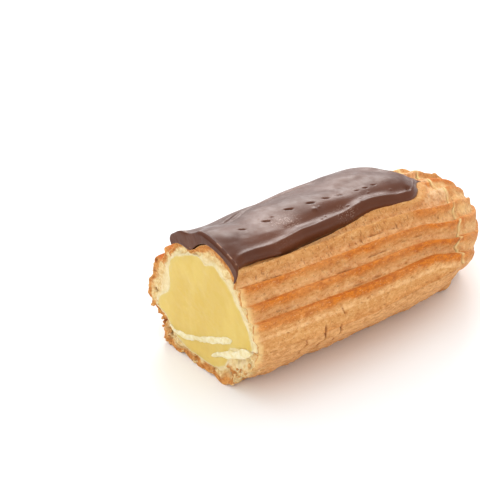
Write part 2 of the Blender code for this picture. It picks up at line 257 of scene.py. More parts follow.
def creased_belly(distance, share):
    """Lower quarter turn with an overhanging lip above a narrower foot."""
    lip_drop = (WIDE_HEIGHT - LIP_HEIGHT) * closing(distance, CROWN_TAPER) ** TIP_UNDERSIDE
    width, top = half_width(distance), WIDE_HEIGHT - lip_drop
    plan = closing(np.minimum(distance, FOOT_END), FOOT_TAPER, FOOT_TAPER_POWER, FOOT_END)
    wall = np.minimum(FOOT_HALF_WIDTH * plan, width * FOOT_MOST)
    wall = np.maximum(wall, width * FOOT_LEAST)
    base = wall * FOOT_BASE_SHARE
    floor = top * ramp(distance, FOOT_END - FOOT_RISE, FOOT_END)
    lip_side, lip_down = curved_pair(90.0 * np.minimum(1.0, share / LIP_SHARE), LIP_POWER)
    turn = 90.0 * np.clip((share - LIP_SHARE) / (FLOOR_SHARE - LIP_SHARE), 0.0, 1.0)
    foot_side, foot_down = curved_pair(turn, FOOT_POWER)
    inwards = np.clip((1.0 - share) / (1.0 - FLOOR_SHARE), 0.0, 1.0)
    on_lip = share <= LIP_SHARE
    out = np.where(on_lip, mix(wall, width, lip_side), mix(base, wall, foot_side) * inwards)
    z = np.where(on_lip, WIDE_HEIGHT - lip_drop * lip_down, mix(top, floor, foot_down))
    return out, z


def belly_point(distance, angle):
    """Section below the widest line, as y and z."""
    far_side = angle < 270.0
    share = np.clip(np.where(far_side, angle - 180.0, 360.0 - angle) / 90.0, 0.0, 1.0)
    crease = np.where(far_side, 1.0, ramp(distance, *NEAR_CREASE))
    smooth, creased = smooth_belly(distance, share), creased_belly(distance, share)
    out, z = (mix(a, b, crease) for a, b in zip(smooth, creased))
    return np.where(far_side, out, -out), z


def envelope(distance, angle):
    """Points on the surface that touches every ridge crest."""
    distance, angle = np.broadcast_arrays(np.minimum(distance, LENGTH), np.mod(angle, 360.0))
    upper, lower = crown_point(distance, np.minimum(angle, 180.0)), belly_point(distance, angle)
    y, z = (np.where(angle <= 180.0, above, below) for above, below in zip(upper, lower))
    return np.stack([distance + CUT_X, y, z], axis=-1)


def outward(surface, distance, angle):
    """Unit normals of a surface, measured with small steps."""
    along = surface(distance, angle) - surface(distance - SLOPE_STEP, angle)
    around = surface(distance, angle + SLOPE_TURN) - surface(distance, angle - SLOPE_TURN)
    normal = np.cross(along, around)
    return normal / np.linalg.norm(normal, axis=-1, keepdims=True)


def ridge_turn(distance, angle):
    """Angle on the section that a ridge line reaches as it curves down to the base."""
    reach = np.maximum(0.0, distance - DROP_START) / DROP_RUN
    drop = np.minimum(DROP_MOST, DROP_TURN * reach ** 1.5)
    above = 90.0 - np.abs(90.0 - angle)
    turned = np.maximum(0.0, above)
    turned = turned - drop * np.cos(np.radians(turned)) ** 1.5
    held = -DROP_FREE - DROP_HOLD * (1.0 - np.exp(np.minimum(0.0, turned + DROP_FREE) / DROP_HOLD))
    turned = np.where(turned < -DROP_FREE, held, turned)
    lip = mix(turned, -LIP_TURN, np.clip(-above / LIP_TURN, 0.0, 1.0))
    turned = np.where(above < -LIP_TURN, above, np.where(above < 0.0, lip, turned))
    return np.where(angle <= 90.0, turned, 180.0 - turned)


def ridge_line(distance, angle):
    return envelope(distance, ridge_turn(distance, angle))


def ridge_phase(angle):
    """Share of the pitch that a place lies below the crest above it."""
    return np.mod((FIRST_RIDGE - (90.0 - np.abs(90.0 - angle))) / RIDGE_PITCH, 1.0)


def ridge_level(angle):
    """Level of the piped pattern: 0 in a valley and 1 on a crest."""
    above = 90.0 - np.abs(90.0 - angle)
    under = (FIRST_RIDGE - above) / RIDGE_PITCH
    phase = ridge_phase(angle)
    piped = np.where(phase > 1.0 - RIDGE_STEP, ramp(phase, 1.0 - RIDGE_STEP, 1.0),
                     1.0 - ramp(phase, 0.0, RIDGE_FALL))
    foot = mix(1.0, FOOT_LEVEL, ramp(under, 0.0, RIDGE_FALL))
    lip = mix(FOOT_LEVEL, 1.0, ramp(-above, 0.0, LIP_TURN))
    return np.where(above < 0.0, lip, np.where(under >= 0.0, foot, piped))


def crack_shift(angle):
    """How far the crack around the end lies from its mean place, at an angle."""
    above = 90.0 - np.abs(90.0 - angle)
    slant = mix(-1.0, 1.0, ramp(above, FIRST_RIDGE, 3.2 * FIRST_RIDGE))
    wave = CRACK_WAVE * np.sin(np.radians(11.0 * above))
    return (CRACK_SLANT * slant + wave) * ramp(above, -LIP_TURN, 0.0)


def far_edge(distance):
    """Angle of the icing's far edge, which runs further down in a lump at the cut."""
    return between(FAR_EDGE, distance) + FAR_LUMP * (1.0 - ramp(distance, 0.0, 3.0))


def bare(distance, angle):
    """1 on open choux, falling to 0 where the icing has filled the valleys."""
    near, far = between(NEAR_EDGE, distance), far_edge(distance)
    inside = np.minimum(angle - near, far - angle)
    return np.where(distance > ICING_END, 1.0, 1.0 - ramp(inside, 0.0, ICING_SEAL))


def places_on(distance, angle):
    """Positions to read noise at, with a third axis, from a place's distance and angle."""
    turn = np.radians(angle)
    shape = np.broadcast_arrays(distance, 20.0 * np.cos(turn), 20.0 * np.sin(turn))
    return np.stack(shape, axis=-1).astype(float)


# ---------------------------------------------------------------- crust: ridges, pores and cracks

RING_CRACK_DEPTH = 1.0
RING_CRACK_WIDTH = 0.17
RING_CRACK_EDGE = 0.5
CRACK_JITTER = 0.8
# Short cracks across the foot: distance, lowest and highest angle, depth
FOOT_CRACKS = ((12.0, -44.0, -2.0, 0.4), (17.0, -48.0, 6.0, 0.8), (21.2, -42.0, 3.0, 0.6),
               (22.3, 4.0, 16.0, 0.35), (34.0, 190.0, 206.0, 0.5), (47.0, 184.0, 199.0, 0.4))
FOOT_CRACK_WIDTH = 0.2
# Broken hairlines along the valleys: ridge number, phase, first and last distance
HAIRLINES = ((1, 0.88, 20.0, 33.5), (1, 0.62, 34.0, 41.5), (1, 0.50, 44.0, 51.0),
             (0, 0.80, 27.0, 36.0), (2, 0.86, 6.0, 13.0), (2, 0.55, 37.0, 46.0),
             (0, 0.70, 6.0, 12.0))
# Short browned strokes on the end: distance, angle, half length
STROKES = ((64.8, 83.2, 1.5), (69.6, 69.0, 1.7))
# Small points of dough: distance, angle, radius, height
TUFTS = ((65.5, 112.5, 0.9, 0.7), (69.0, 113.2, 1.0, 1.1), (73.6, 100.0, 1.1, 1.1),
         (68.0, 112.0, 3.2, 0.8),
         (66.0, 150.0, 0.9, 0.6), (61.0, 118.0, 0.7, 0.4))
HAIRLINE_WIDTH = 0.035
HAIRLINE_DEPTH = 0.28
# Bow of the upper ridges: distance, degrees
RIDGE_BOW = ((0.0, -3.6), (5.0, -3.0), (10.0, -2.0), (16.0, -0.9), (22.0, -0.1), (30.0, 0.3),
             (37.0, 0.1), (43.0, -1.2), (50.0, -2.6), (56.0, -3.4), (62.0, -3.0))
CUT_ROUND = 1.2           # the crust bends over this far at the cut
TORN_REACH = 3.0          # the cut's edge wavers over this distance


def swell_at_cut(distance, angle):
    """Height at the cut, where the far shoulder has sunk and the icing has run in."""
    raised = 0.5 * ramp(angle, 52.0, 62.0) * (1.0 - ramp(angle, 88.0, 98.0))
    return (raised - 2.2 * hump(angle, 112.0, 11.0)) * (1.0 - ramp(distance, 0.5, 5.0))


def ridge_wave(distance, angle):
    """How far the piped ridges wander, in degrees: the upper ones bow up midway."""
    above = 90.0 - np.abs(90.0 - angle)
    wander = 0.6 * noise(places_on(distance, angle), (17.0, 9.0, 9.0), 11)
    bow = between(RIDGE_BOW, distance) * mix(0.5, 1.0, ramp(above, 20.0, 34.0))
    return (wander + bow) * ramp(above, 2.0, 12.0) * (1.0 - ramp(distance, 60.0, 68.0))


def base_height(distance, angle):
    """Height of the crust over the envelope, without its fine detail."""
    depth = RIDGE_DEPTH * RIDGE_CARVED
    depth = depth * (1.0 + 0.22 * noise(places_on(distance, angle), (11.0, 5.0, 5.0), 21))
    depth = depth * mix(1.0, 0.4, ramp(distance, 63.0, 68.0) * (1.0 - ramp(angle, 64.0, 84.0)))
    fade = np.minimum(1.0, 3.0 * closing(distance, WIDTH_TAPER))
    sink = depth * (1.0 - ridge_level(angle)) * fade * bare(distance, angle)
    return swell_at_cut(distance, angle) - sink


def hairlines(distance, angle, points):
    """Depth, from 0 to 1, of the broken lengthwise cracks in the valleys."""
    above = 90.0 - np.abs(90.0 - angle)
    near_side = angle < 90.0
    total = np.zeros(np.shape(angle))
    for number, phase, start, end in HAIRLINES:
        for side in (True, False):
            place = FIRST_RIDGE + RIDGE_PITCH * (number + 1.0 - phase)
            place = place + 0.5 * noise(points, (3.0, 50.0, 50.0), 31 + number)
            shift = 0.0 if side else 9.0
            run = ramp(distance, start + shift, start + shift + 1.0)
            run = run * (1.0 - ramp(distance, end + shift - 1.0, end + shift))
            line = hump(above, place, HAIRLINE_WIDTH * RIDGE_PITCH) * run
            total = np.maximum(total, np.where(near_side == side, line, 0.0))
    broken = ramp(noise(points, (1.3, 60.0, 60.0), 41), -0.2, 0.3)
    return total * broken


def foot_cracks(distance, angle):
    """Depth, in millimetres, of the short cracks across the foot."""
    angle = np.where(angle > 270.0, angle - 360.0, angle)
    total = np.zeros(np.shape(angle))
    for place, low, high, depth in FOOT_CRACKS:
        bend = 0.25 * np.sin(np.radians(angle * 17.0))
        reach = ramp(angle, low, low + 6.0) * (1.0 - ramp(angle, high - 5.0, high))
        total = np.maximum(total, depth * reach * hump(distance, place + bend, FOOT_CRACK_WIDTH))
    return total


def tufts(distance, angle):
    """Height of the small points of dough that stand up near the rounded end."""
    total = np.zeros(np.shape(angle))
    for place, turn, radius, height in TUFTS:
        across = (angle - turn) * 0.3 * closing(place, WIDTH_TAPER)
        reach = np.hypot(distance - place, across) / radius
        total = np.maximum(total, height * np.clip(1.0 - reach, 0.0, 1.0))
    return total


def crust_surface(stations, angles):
    """Points of the crust, and the masks that its colours follow."""
    distance, angle = np.meshgrid(stations, angles, indexing="ij")
    above = 90.0 - np.abs(90.0 - angle)
    upper = ramp(above, -8.0, 4.0)
    from_crack = distance - CRACK_PLACE
    jitter = CRACK_JITTER * rough(places_on(0.0, angle), 2.4, 51) * hump(from_crack, 0.0, 2.5)
    moved = distance + crack_shift(angle) * np.exp(-(from_crack / CRACK_REACH) ** 2) + jitter
    moved = np.where(above < -LIP_TURN, distance, moved)
    placed = angle + ridge_wave(distance, angle)
    points = ridge_line(moved, placed)
    normal = outward(ridge_line, moved, placed)

    level = ridge_level(angle)
    phase = ridge_phase(angle)
    piped = above > FIRST_RIDGE - 0.75 * RIDGE_PITCH
    open_choux = bare(distance, angle)
    ragged = phase + 0.10 * rough(points, (2.6, 1.1, 1.1), 63, 2)
    brown = np.where(phase < 0.7, 1.0 - ramp(ragged, 0.17, 0.50), ramp(phase, 0.86, 0.91))
    brown = np.where(piped, brown, 0.0) * open_choux
    brown *= mix(1.0, ramp(distance, 50.5, 53.0), ramp(above, 52.0, 55.0))
    brown *= mix(1.0, 0.4, ramp(angle, 93.0, 100.0) * ramp(distance, 52.0, 58.0))
    brown *= np.where((above > 65.0) & (angle < 90.0), ramp(from_crack, 0.5, 1.5), 1.0)
    light = hump(phase, 0.68, 0.17) * np.where(piped, open_choux, 0.0)
    faint = 0.35 * hump(above, 0.5, 4.5) * ramp(noise(points, (9.0, 4.0, 4.0), 92), -0.6, 0.3)
    blush = ramp(distance, 53.0, 60.0) * (1.0 - ramp(from_crack, 0.5, 2.0))
    blush *= ramp(above, 60.5, 64.0) * open_choux
    brown *= mix(1.0, 0.6, ramp(distance, 63.5, 67.0) * (1.0 - ramp(angle, 70.0, 90.0)))
    tan = (1.0 - brown) * open_choux

    height = base_height(distance, angle)
    height += 0.34 * rough(points, (13.0, 7.0, 7.0), 61, 2) * ramp(distance, 0.0, 6.0)
    height += 0.12 * noise(points, (3.4, 1.6, 1.6), 65)
    height += 0.085 * rough(points, (1.5, 0.9, 0.9), 67, 2) * mix(0.4, 1.0, tan)
    height += tufts(moved, placed)
    pore = pits(points, (1.7, 0.9, 0.9), 71, 0.6, 0.36) * tan * upper
    pore *= ramp(noise(points, (6.0, 3.0, 3.0), 72), -0.6, 0.1)
    wrinkle = pits(points, (0.8, 2.0, 2.0), 75, 0.55, 0.40) * tan * ramp(above, 44.0, 50.0)
    wrinkle *= ramp(noise(points, (5.0, 4.0, 4.0), 76), -0.45, 0.15)
    hair = hairlines(distance, angle, points) * open_choux
    height -= 0.38 * pore + 0.3 * wrinkle + HAIRLINE_DEPTH * hair

    past_crack = ramp(above, 4.0, 14.0) * ramp(closing(distance, WIDTH_TAPER), 0.05, 0.3)
    crack = np.exp(-(from_crack / RING_CRACK_WIDTH) ** 2) * past_crack
    gape = ramp(noise(places_on(0.0, angle), 3.0, 53), -0.9, 0.1)
    crack_edge = hump(from_crack, 0.3, RING_CRACK_EDGE) * past_crack
    crack_edge *= mix(0.35, 1.0, ramp(noise(points, 1.1, 55), -0.5, 0.4))
    flaked = hump(from_crack, 1.9, 0.9) * past_crack * ramp(noise(points, 1.3, 57), 0.2, 0.45)
    brown = np.maximum(brown, 0.9 * flaked)
    for place, turn, half in STROKES:
        reach = np.hypot((moved - place) / half, (placed - turn) / 2.6)
        brown = np.maximum(brown, np.exp(-reach ** 4))
    height += 0.16 * crack_edge - RING_CRACK_DEPTH * crack * gape
    short = foot_cracks(distance, angle)
    height -= short

    soft = (1.0 - np.clip(distance / CUT_ROUND, 0.0, 1.0)) * open_choux
    signed = np.where(angle > 270.0, angle - 360.0, angle)
    bend = mix(0.2, 1.0, 1.0 - ramp(np.abs(signed - 12.0), 25.0, 50.0))
    height -= 0.95 * bend * (1.0 - np.sqrt(np.clip(1.0 - soft ** 2, 0.0, 1.0)))
    torn = (1.0 - ramp(distance, 0.0, TORN_REACH)) * open_choux
    crumbly = ramp(np.abs(np.mod(angle, 360.0) - 255.0), 75.0, 45.0)
    height += torn * (0.22 + 0.55 * crumbly) * rough(places_on(0.0, angle), 1.5, 81)
    height -= 0.8 * ramp(distance, 61.0, 69.0) * (1.0 - ramp(above, -24.0, -8.0))
    signed_low = hump(signed, -56.0, 14.0) * ramp(distance, 1.0, 5.0)
    height += 0.55 * signed_low * rough(places_on(distance, 0.0), 2.1, 87)
    chunk = torn_corner(distance, angle)
    height -= chunk * (0.9 + 0.8 * rough(points, 1.3, 85))

    points = points + normal * height[..., None]
    points[..., 0] += torn * 0.35 * rough(places_on(0.0, angle), 1.9, 83)
    points[..., 2] = np.maximum(points[..., 2], 0.0)

    on_foot = 1.0 - ramp(above, -6.0, 8.0)
    masks = {
        "brown": np.maximum(faint, brown * mix(
            0.7, 1.0, ramp(noise(points, (8.0, 4.0, 4.0), 91), -0.5, 0.4))),
        "light": light,
        # painted shade: pores, wrinkle pits, hairlines, the ring crack and the foot cracks painted
        # darker
        "painted_recess_shade": np.clip(0.5 * pore + 0.55 * wrinkle + 0.6 * hair + 0.85 * crack * gape
                        + 1.3 * short, 0.0, 1.0),
        "pale": np.clip(0.9 * crack_edge + 0.7 * soft ** 1.5 * bend
                        + 0.2 * tan * ramp(distance, 52.0, 66.0) * ramp(above, 20.0, 60.0),
                        0.0, 1.0),
        "foot": on_foot,
        "blush": blush,
        "wrinkled": tan * ramp(above, 48.0, 52.0) * ramp(distance, 1.0, 4.0) * (1.0 - blush),
        "crumb": chunk,
        "cream": np.zeros(chunk.shape),
    }
    return points, masks


def torn_corner(distance, angle):
    """1 where the crust has broken away at the lower near corner of the cut."""
    signed = np.where(angle > 270.0, angle - 360.0, angle)
    width = 4.2 + 1.3 * np.sin(np.radians(signed * 9.0))
    reach = 1.0 - ramp(distance, 0.55 * width, width)
    return reach * ramp(signed, -66.0, -60.0) * (1.0 - ramp(signed, -40.0, -28.0))


def crust_angles():
    """Angles of the columns around the crust, closer together at each crest's crisp edge."""
    lip = np.linspace(-LIP_TURN, FIRST_RIDGE - RIDGE_PITCH, LIP_COLUMNS, endpoint=False)
    phases = np.concatenate([np.linspace(0.0, 1.0 - RIDGE_STEP, RIDGE_COLUMNS, endpoint=False),
                             np.linspace(1.0 - RIDGE_STEP, 1.0, STEP_COLUMNS, endpoint=False)])
    crests = FIRST_RIDGE + RIDGE_PITCH * np.arange(6)
    ridges = (crests[:, None] - RIDGE_PITCH * phases[::-1]).ravel()
    near = np.concatenate([lip, ridges[ridges < 89.6]])
    far_low = np.linspace(180.0 + LIP_TURN, 180.0 + LOW_TURN, LOW_COLUMNS, endpoint=False)[1:]
    floor = np.linspace(180.0 + LOW_TURN, 360.0 - LOW_TURN, FLOOR_COLUMNS, endpoint=False)
    near_low = np.linspace(360.0 - LOW_TURN, 360.0 - LIP_TURN, LOW_COLUMNS, endpoint=False)
    return np.concatenate([near, 180.0 - near[::-1], far_low, floor, near_low])


def crust_stations():
    """Distances of the rings, closer together at the cut, at the cracks and at the end."""
    body = np.arange(0.0, END_START, STATION_STEP)
    count = int((LENGTH - END_START) * math.pi / 2.0 / STATION_STEP)
    end = END_START + (LENGTH - END_START) * np.sin(np.linspace(0.0, math.pi / 2.0, count))
    stations = np.concatenate([body, end[:-2]])
    extra = [0.12, 0.25, 0.62]
    for place, width in [(CRACK_PLACE, RING_CRACK_WIDTH)] + [(c[0], 0.6 * FOOT_CRACK_WIDTH)
                                                              for c in FOOT_CRACKS]:
        around = place + width * np.array([-3.0, -1.8, -0.9, 0.0, 0.9, 1.8, 3.0])
        stations = stations[np.abs(stations - place) > 3.6 * width]
        extra.extend(around)
    return np.unique(np.concatenate([stations, extra]))


# ---------------------------------------------------------------- cut face and cavity

FACE_ROWS = 24
INNER_DEPTHS = (0.1, 1.5, 6.0, 16.0, 30.0, 46.0, 58.0, CAVITY_END)
BAKED_BAND = ((-40, 1.5), (-20, 0.7), (10, 0.5), (45, 1.3), (62, 2.2), (110, 2.4), (140, 1.7),
              (175, 1.7), (205, 1.7), (230, 2.2), (275, 2.2), (300, 2.0), (320, 1.5))
CREAM_RING = ((-40, 2.2), (-20, 1.8), (0, 1.3), (50, 1.3), (78, 0.9), (92, 1.6), (105, 0.7), (130, 0.8),
              (152, 1.2), (163, 2.8), (180, 2.9), (190, 0.7), (230, 0.5), (300, 0.8), (320, 2.2))
# How far the custard has been pressed out at the cut: angle, distance
EDGE_BULGE = ((0, 0.9), (12, 0.9), (28, 0.3), (52, 0.1), (66, 0.2), (76, 0.9), (84, 0.3), (91, -0.6),
              (97, 0.4), (108, 1.0), (124, 1.4), (138, 2.2), (148, 2.1), (158, 0.9), (168, -0.4),
              (180, -0.6), (188, 1.2), (195, 1.7), (205, 1.2), (220, 0.2), (243, 0.2), (256, 0.9),
              (270, 0.3), (298, 0.0), (308, -1.2), (316, -2.6), (326, -2.9), (338, -1.7),
              (348, -0.3), (360, 0.9))
# Holes in the crumb: y, z, radius
CRUMB_HOLES = ((14.3, 5.2, 0.95), (15.9, 7.6, 0.55), (11.6, 3.0, 0.5), (17.9, 17.2, 0.8),
               (16.8, 20.6, 0.7), (17.2, 12.2, 0.6), (9.0, 1.6, 0.45), (4.6, 1.3, 0.4))


def cavity_edge(distance, angle):
    """Smooth closed curve around the cavity, as y and z, at a distance from the cut."""
    turns = np.arange(0.0, 360.0, CAVITY_STEP)
    wall = envelope(distance, turns)[:, 1:]
    to_centre = np.array(CAVITY_CENTRE) - wall
    thickness = between(WALLS, turns) / np.linalg.norm(to_centre, axis=-1)
    ring = wall + to_centre * thickness[:, None]
    place = np.mod(angle, 360.0) / CAVITY_STEP
    number = np.floor(place).astype(int)
    share = (place - number)[..., None]
    before, first, second, after = (ring[(number + step) % len(turns)] for step in (-1, 0, 1, 2))
    return first + 0.5 * share * (second - before + share * (
        2.0 * before - 5.0 * first + 4.0 * second - after
        + share * (3.0 * (first - second) + after - before)))


def custard_edge(distance, angle):
    """The same curve, wavering where custard and crumb meet."""
    edge = cavity_edge(distance, angle)
    away = edge - np.array(CAVITY_CENTRE)
    away /= np.linalg.norm(away, axis=-1, keepdims=True)
    waver = 0.25 * rough(places_on(0.0, angle), 3.0, 101)
    bulge = between(EDGE_BULGE, np.mod(angle, 360.0)) * (1.0 - ramp(distance, 0.0, 8.0))
    return edge + away * (waver + bulge)[..., None]


def flat_points(y, z, level=0.0):
    return np.stack(np.broadcast_arrays(level, y, z), axis=-1).astype(float)


def crumb_face(rim, angles):
    """Rows of points across the cut face, from the rim to the custard, and their masks."""
    inner = custard_edge(0.0, angles)
    share = np.linspace(0.0, 1.0, FACE_ROWS + 1)[1:] ** 0.92
    share = np.insert(share, -1, 0.985)[:, None]
    y = mix(rim[None, :, 1], inner[None, :, 0], share)
    z = mix(rim[None, :, 2], inner[None, :, 1], share)
    width = np.linalg.norm(rim[:, 1:] - inner, axis=-1)[None, :]
    from_rim, from_custard = share * width, (1.0 - share) * width
    plane = flat_points(y, z)

    signed = np.where(angles > 320.0, angles - 360.0, angles)[None, :]
    jag = 0.55 * rough(plane, 1.6, 111)
    band = between(BAKED_BAND, signed)
    baked = 1.0 - ramp(from_rim + jag, 0.55 * band, band)
    cream = 1.0 - ramp(from_custard + jag, 0.5 * between(CREAM_RING, signed),
                       between(CREAM_RING, signed))
    lower = ramp(np.abs(signed - 255.0), 75.0, 50.0)
    corner = hump(signed, 316.0, 26.0) + hump(signed, -36.0, 22.0)
    around = np.where(signed < 180.0, signed + 360.0, signed)
    membrane = ramp(-y, 10.4, 11.8) * ramp(z, 11.0, 9.0) * ramp(
        rough(plane, 1.9, 125), -0.6, -0.15)

    relief = 0.30 + 0.36 * rough(plane, 1.5, 113) * mix(0.7, 1.5, lower)
    relief += 0.5 * pits(plane, 1.3, 115, 0.45, 0.42)
    relief -= 0.55 * corner * rough(plane, 2.2, 117)
    hole = np.zeros(y.shape)
    for hole_y, hole_z, radius in CRUMB_HOLES:
        reach = np.hypot(y - hole_y, z - hole_z) + 0.25 * noise(plane, 0.8, 119)
        hole = np.maximum(hole, 1.0 - ramp(reach, 0.35 * radius, radius))
    relief = relief * (1.0 - 0.92 * cream) + 1.5 * hole * (1.0 - cream)
    relief = mix(relief, 0.10 + 0.25 * rough(plane, 1.0, 121), baked * 0.6)
    relief *= ramp(from_rim, 0.0, 0.6)
    relief = np.where(bare(0.0, signed) < 0.5, np.maximum(relief, 0.03), relief)
    points = np.stack([rim[None, :, 0] * (1.0 - share) + CUT_X * share + relief, y, z], axis=-1)

    toast = 1.5 * hump(y, -8.4, 2.3) * hump(z, 4.3, 1.9) + 0.7 * hump(around, 350.0, 7.0)
    toast = np.clip(toast, 0.0, 1.0) * ramp(rough(plane, 2.0, 123), -0.8, -0.2)
    cream = np.maximum(cream, 0.9 * membrane * ramp(from_rim, 0.4, 1.0)) * (1.0 - toast)
    baked = baked * (1.0 - 0.8 * membrane)
    masks = {
        "brown": np.clip(baked + toast, 0.0, 1.0),
        # painted shade: the crumb's holes and its deeper hollows painted darker
        "painted_recess_shade": np.clip(0.95 * hole + 0.35 * ramp(relief, 0.55, 1.1), 0.0, 1.0),
        "pale": np.zeros(y.shape),
        "light": np.zeros(y.shape),
        "foot": np.zeros(y.shape),
        "blush": np.zeros(y.shape),
        "wrinkled": np.zeros(y.shape),
        "crumb": np.ones(y.shape),
        "cream": cream,
    }
    return points, masks


def inner_wall(angles):
    """Rings along the cavity's wall to its blind end."""
    rings = []
    for depth in INNER_DEPTHS:
        edge = custard_edge(depth, angles)
        rings.append(flat_points(edge[:, 0], edge[:, 1], CUT_X + depth))
    return np.array(rings)


# ---------------------------------------------------------------- meshes and pieces

def ring_faces(rows, columns, first=0):
    """Quads between neighbouring closed rings."""
    row, column = np.meshgrid(np.arange(rows - 1), np.arange(columns), indexing="ij")
    following = (column + 1) % columns
    corners = [row * columns + column, row * columns + following,
               (row + 1) * columns + following, (row + 1) * columns + column]
    return (np.stack(corners, axis=-1).reshape(-1, 4) + first).tolist()


def new_piece(name, points, faces, masks=None):
    """Object from points in millimetres and faces, with a value for each point and mask."""
    mesh = bpy.data.meshes.new(name)
    mesh.from_pydata((points * MM).tolist(), [], faces)
    for mask, values in (masks or {}).items():
        layer = mesh.attributes.new(mask, "FLOAT", "POINT")
        layer.data.foreach_set("value", np.asarray(values, np.float32))
    mesh.shade_smooth()
    item = bpy.data.objects.new(name, mesh)
    bpy.context.scene.collection.objects.link(item)
    return item


def closed_tube(name, rings, start, end, masks=None):
    """Object from rows of closed rings, closed at both ends by fans to a point each."""
    rows, columns = rings.shape[:2]
    points = np.concatenate([rings.reshape(-1, 3), [start, end]])
    faces = ring_faces(rows, columns)
    last = (rows - 1) * columns
    for number in range(columns):
        following = (number + 1) % columns
        faces.append((following, number, rows * columns))
        faces.append((last + number, last + following, rows * columns + 1))
    masks = {mask: np.concatenate([values.ravel(), [values[0].mean(), values[-1].mean()]])
             for mask, values in (masks or {}).items()}
    return new_piece(name, points, faces, masks)


def face_outwards(item):
    """Turn all faces outwards if they point in."""
    mesh = item.data
    count = len(mesh.vertices)
    points = np.empty(count * 3)
    mesh.vertices.foreach_get("co", points)
    points = points.reshape(-1, 3)
    mesh.calc_loop_triangles()
    corners = np.empty(len(mesh.loop_triangles) * 3, np.int32)
    mesh.loop_triangles.foreach_get("vertices", corners)
    a, b, c = (points[corners.reshape(-1, 3)[:, number]] for number in range(3))
    if np.sum(a * np.cross(b, c)) < 0.0:
        mesh.flip_normals()


def dress(item, material):
    """Give a piece its material and its body."""
    item.data.materials.append(material)
    face_outwards(item)
    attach(item, "root")
    return item


def make_crust(material):
    """The whole choux: outer crust, torn cut face and the cavity's wall."""
    angles = crust_angles()
    outer, masks = crust_surface(crust_stations()[::-1], angles)
    face, face_masks = crumb_face(outer[-1], angles)
    wall = inner_wall(angles)
    wall_rows = np.ones((len(wall), len(angles)))
    blank = {name: wall_rows * (name in ("crumb", "cream")) for name in masks}
    masks = {name: np.concatenate([masks[name], face_masks[name], blank[name]]) for name in masks}
    rings = np.concatenate([outer, face, wall])
    tip = envelope(np.array(LENGTH), np.array(0.0))
    blind = np.array([CUT_X + CAVITY_END, *CAVITY_CENTRE])
    item = closed_tube("choux_crust", rings, tip, blind, masks)
    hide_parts("choux_shell")
    return dress(item, material)


# ---------------------------------------------------------------- custard and webs

CUSTARD_COLUMNS = 240
CUSTARD_ROWS = 44
CUSTARD_TUCK = 0.012      # its edge runs this share of the way in behind the crumb
CUSTARD_PROUD = 0.22
WEB_COLUMNS = 40
WEB_STATIONS = 110
WEB_DEPTH = 12.0
# Centre lines of the two webs of dough at the cut, from root to tip, as (y, z), with half widths
WEBS = {
    "upper_web": (((11.6, 5.6), (8.4, 5.1), (5.2, 5.8), (1.6, 7.1), (-1.4, 8.5), (-4.8, 10.0),
                   (-8.0, 11.8), (-10.6, 13.1)), (0.3, 0.55, 0.7, 0.6, 0.85, 0.8, 0.95, 0.4)),
    "lower_web": (((-16.8, 12.8), (-14.7, 11.8), (-12.0, 10.0), (-9.2, 8.5), (-7.2, 7.5),
                   (-5.2, 6.5), (-3.4, 5.3)), (0.8, 1.1, 0.9, 1.0, 0.5, 0.55, 0.3)),
}
WEB_PROUD = 0.08


def custard_relief(plane):
    """How far back the knife left the custard: long shallow waves and a finer grain."""
    waves = 0.16 * noise(plane, (1.0, 7.0, 3.2), 131) + 0.12 * noise(plane, (1.0, 2.6, 9.0), 135)
    return waves + 0.05 * rough(plane, (1.0, 1.6, 0.9), 133)


def make_custard(material):
    """Custard that fills the cavity, smoothed off at the cut by the knife."""
    angles = np.linspace(0.0, 360.0, CUSTARD_COLUMNS, endpoint=False)
    edge = custard_edge(0.0, angles)
    share = np.linspace(0.0, 1.0, CUSTARD_ROWS + 1)[1:]
    share = np.append(share, 1.0 + CUSTARD_TUCK)[:, None]
    y = mix(CAVITY_CENTRE[0], edge[None, :, 0], share)
    z = mix(CAVITY_CENTRE[1], edge[None, :, 1], share)
    plane = flat_points(y, z)
    from_edge = (1.0 - share) * np.linalg.norm(edge - np.array(CAVITY_CENTRE), axis=-1)[None, :]
    relief = custard_relief(plane) * ramp(from_edge, 0.0, 1.5)
    relief -= CUSTARD_PROUD * ramp(from_edge, 0.0, 1.8) + 0.03
    relief[-1] += 0.15
    face = np.stack([CUT_X + relief, y, z], axis=-1)
    edge_width = 0.55 + 0.5 * rough(plane, 2.6, 137)
    cream = 1.0 - ramp(from_edge, 0.15 * edge_width, 0.7 * edge_width + 0.1)
    back = [flat_points(*custard_edge(depth, angles).T, CUT_X + depth) for depth in INNER_DEPTHS]
    rings = np.concatenate([face, back])
    middle = np.array([CUT_X - 0.2, *CAVITY_CENTRE])
    blind = np.array([CUT_X + CAVITY_END, *CAVITY_CENTRE])
    cream = np.concatenate([cream, np.ones((len(back), CUSTARD_COLUMNS))])
    item = closed_tube("custard", rings, middle, blind, {"cream": cream})
    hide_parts("custard_filling")
    return dress(item, material)


